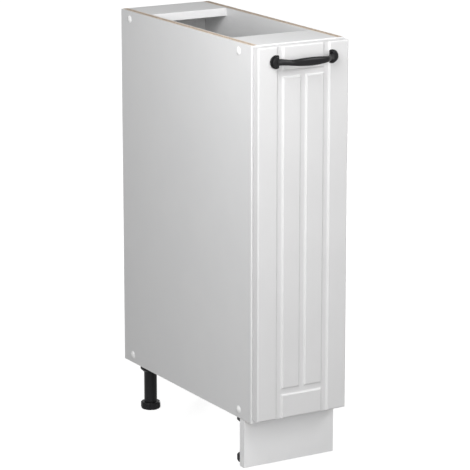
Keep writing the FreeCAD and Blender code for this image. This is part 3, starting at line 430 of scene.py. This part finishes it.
def turned_beech():
    """Dowel wood: pale long grain with short dark flecks, running along X."""
    material, tree, shader = new_finish("beech")
    place = own_place(tree)
    grain = noise(tree, stretched(tree, place, (40.0, 700.0, 700.0)), 1.0, detail=4.0, rough=0.6)
    flecks = noise(tree, stretched(tree, place, (220.0, 1500.0, 1500.0)), 1.0, detail=2.0)
    pale = shaded(tree, ramped(tree, grain, *NOISE_SPREAD), "beech")
    colour = blended(tree, ramped(tree, flecks, 0.62, 0.74, 0.0, 0.6), pale, BEECH_FLECK)
    rough = ramped(tree, grain, 0.2, 0.8, 0.55, 0.72)
    feed(tree, shader, colour, rough, dented(tree, grain, depth=0.0001))
    return material


def all_finishes():
    """A finish for each material slot of the record; both side boards lie the same way across X."""
    low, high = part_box("right_side_panel")
    return {
        "white_board": faced_board("white_side_board", (1.0, 0.0, 0.0), low.x, high.x),
        "back_board": back_board(),
        "white_band": white_foil("white_band", grain_scale=1400.0, roughness=0.36),
        "front_film": white_foil("front_film", grain_scale=1900.0, roughness=0.30),
        "cap_plastic": moulded_plastic("cap_plastic", roughness=0.20),
        "leg_plastic": moulded_plastic("leg_plastic", roughness=0.42, gloss=0.16),
        "cage_plastic": moulded_plastic("cage_plastic", roughness=0.42),
        "bumper_rubber": moulded_plastic("bumper_rubber", roughness=0.55),
        "cast_zinc": zinc_casting(),
        "zinc_steel": plated_steel("zinc_steel", (900.0, 14.0, 900.0), roughness=0.26, rough_spread=0.16,
                                   line_depth=0.00002),
        "ball_steel": plated_steel("ball_steel", (700.0, 700.0, 700.0), roughness=0.08, rough_spread=0.10,
                                   line_depth=0.000004),
        "chrome_wire": plated_steel("chrome_wire", (160.0, 160.0, 160.0), roughness=0.07, rough_spread=0.12,
                                    line_depth=0.000006),
        "frame_paint": frame_powder_coat(),
        "handle_black": handle_lacquer(),
        "beech": turned_beech(),
    }


def other_board_finishes():
    """Boards that differ from the sides: level ones show chips on other edges; the wrapped plinth shows
    none, and its white is painted lighter as painted light for the shade under the front.
    """
    rail = level_board("white_rail_board", "front_top_rail")
    return {
        "bottom_panel": level_board("white_bottom_board", "bottom_panel"),
        "front_top_rail": rail,
        "rear_top_rail": rail,
        # The plinth's white is painted lighter than its board: painted light in place of the shade under
        # the front's overhang
        "plinth_board": white_foil("white_plinth_painted_light", grain_scale=1500.0, roughness=0.40),
    }


def dress_nodes():
    """Gives each CAD piece the finish of its board, or else of its material slot."""
    by_slot = all_finishes()
    by_node = other_board_finishes()
    for part in frame["record"]["subparts"]:
        finish = by_node.get(part["node"], by_slot[part["material_slot"]])
        for slot in frame["nodes"][part["node"]].material_slots:
            slot.material = finish


def seen_directly(tree):
    """1 for what the camera, a mirror or glass sees, 0 for the light that falls on the unit."""
    path = put(tree, "LightPath").outputs
    seen = worked(tree, "MAXIMUM", path["Is Camera Ray"], path["Is Glossy Ray"])
    return worked(tree, "MAXIMUM", seen, path["Is Transmission Ray"])


def pale_floor():
    """A plain pale floor: white to the eye, with the unit's shadow."""
    bpy.ops.mesh.primitive_plane_add(size=2 * FLOOR_HALF, location=(0.0, 0.0, FLOOR_LIFT))
    floor = bpy.context.object
    floor.name = "floor"
    material, tree, shader = new_finish("floor", {"Base Color": FLOOR_GREY, "Roughness": FLOOR_ROUGHNESS})
    distance = reckoned(tree, "LENGTH", own_place(tree))["Value"]
    level = ramped(tree, distance, *FLOOR_FADE, FLOOR_FILL, 1.0)
    strength = worked(tree, "MULTIPLY", seen_directly(tree), level)
    fill = put(tree, "Emission", {"Color": WHITE, "Strength": strength})
    both = put(tree, "AddShader", {0: shader.outputs["BSDF"], 1: fill.outputs["Emission"]})
    tree.links.new(both.outputs["Shader"], tree.nodes["Material Output"].inputs["Surface"])
    floor.data.materials.append(material)


def white_surroundings():
    """Even light from all round; the background itself is white."""
    world = bpy.data.worlds.new("studio")
    bpy.context.scene.world = world
    world.use_nodes = True
    tree = world.node_tree
    background = tree.nodes["Background"]
    background.inputs["Color"].default_value = WHITE
    strength = ramped(tree, seen_directly(tree), 0.0, 1.0, AMBIENT, 1.0)
    tree.links.new(strength, background.inputs["Strength"])


def soft_lamp(name, place, aim, size, power):
    """A round lamp that the camera does not see."""
    lamp = bpy.data.lights.new(name, "AREA")
    lamp.shape = "DISK"
    lamp.size = size
    lamp.energy = power
    holder = bpy.data.objects.new(name, lamp)
    holder.location = place
    holder.rotation_euler = (Vector(aim) - Vector(place)).to_track_quat("-Z", "Y").to_euler()
    holder.visible_camera = False
    bpy.context.scene.collection.objects.link(holder)


def photo_camera():
    """The scene's camera, at the photo's viewing angle."""
    camera = bpy.data.cameras.new("camera")
    camera.lens = CAMERA_LENS
    camera.sensor_width = SENSOR_WIDTH
    holder = bpy.data.objects.new("camera", camera)
    holder.location = CAMERA_PLACE
    holder.rotation_euler = (math.pi / 2 - CAMERA_DIP, 0.0, -CAMERA_HEADING)
    bpy.context.scene.collection.objects.link(holder)
    bpy.context.scene.camera = holder


dress_nodes()
pale_floor()
white_surroundings()
for lamp_name, setting in LAMPS.items():
    soft_lamp(lamp_name, *setting)
photo_camera()
bpy.context.scene.view_settings.view_transform = "Standard"
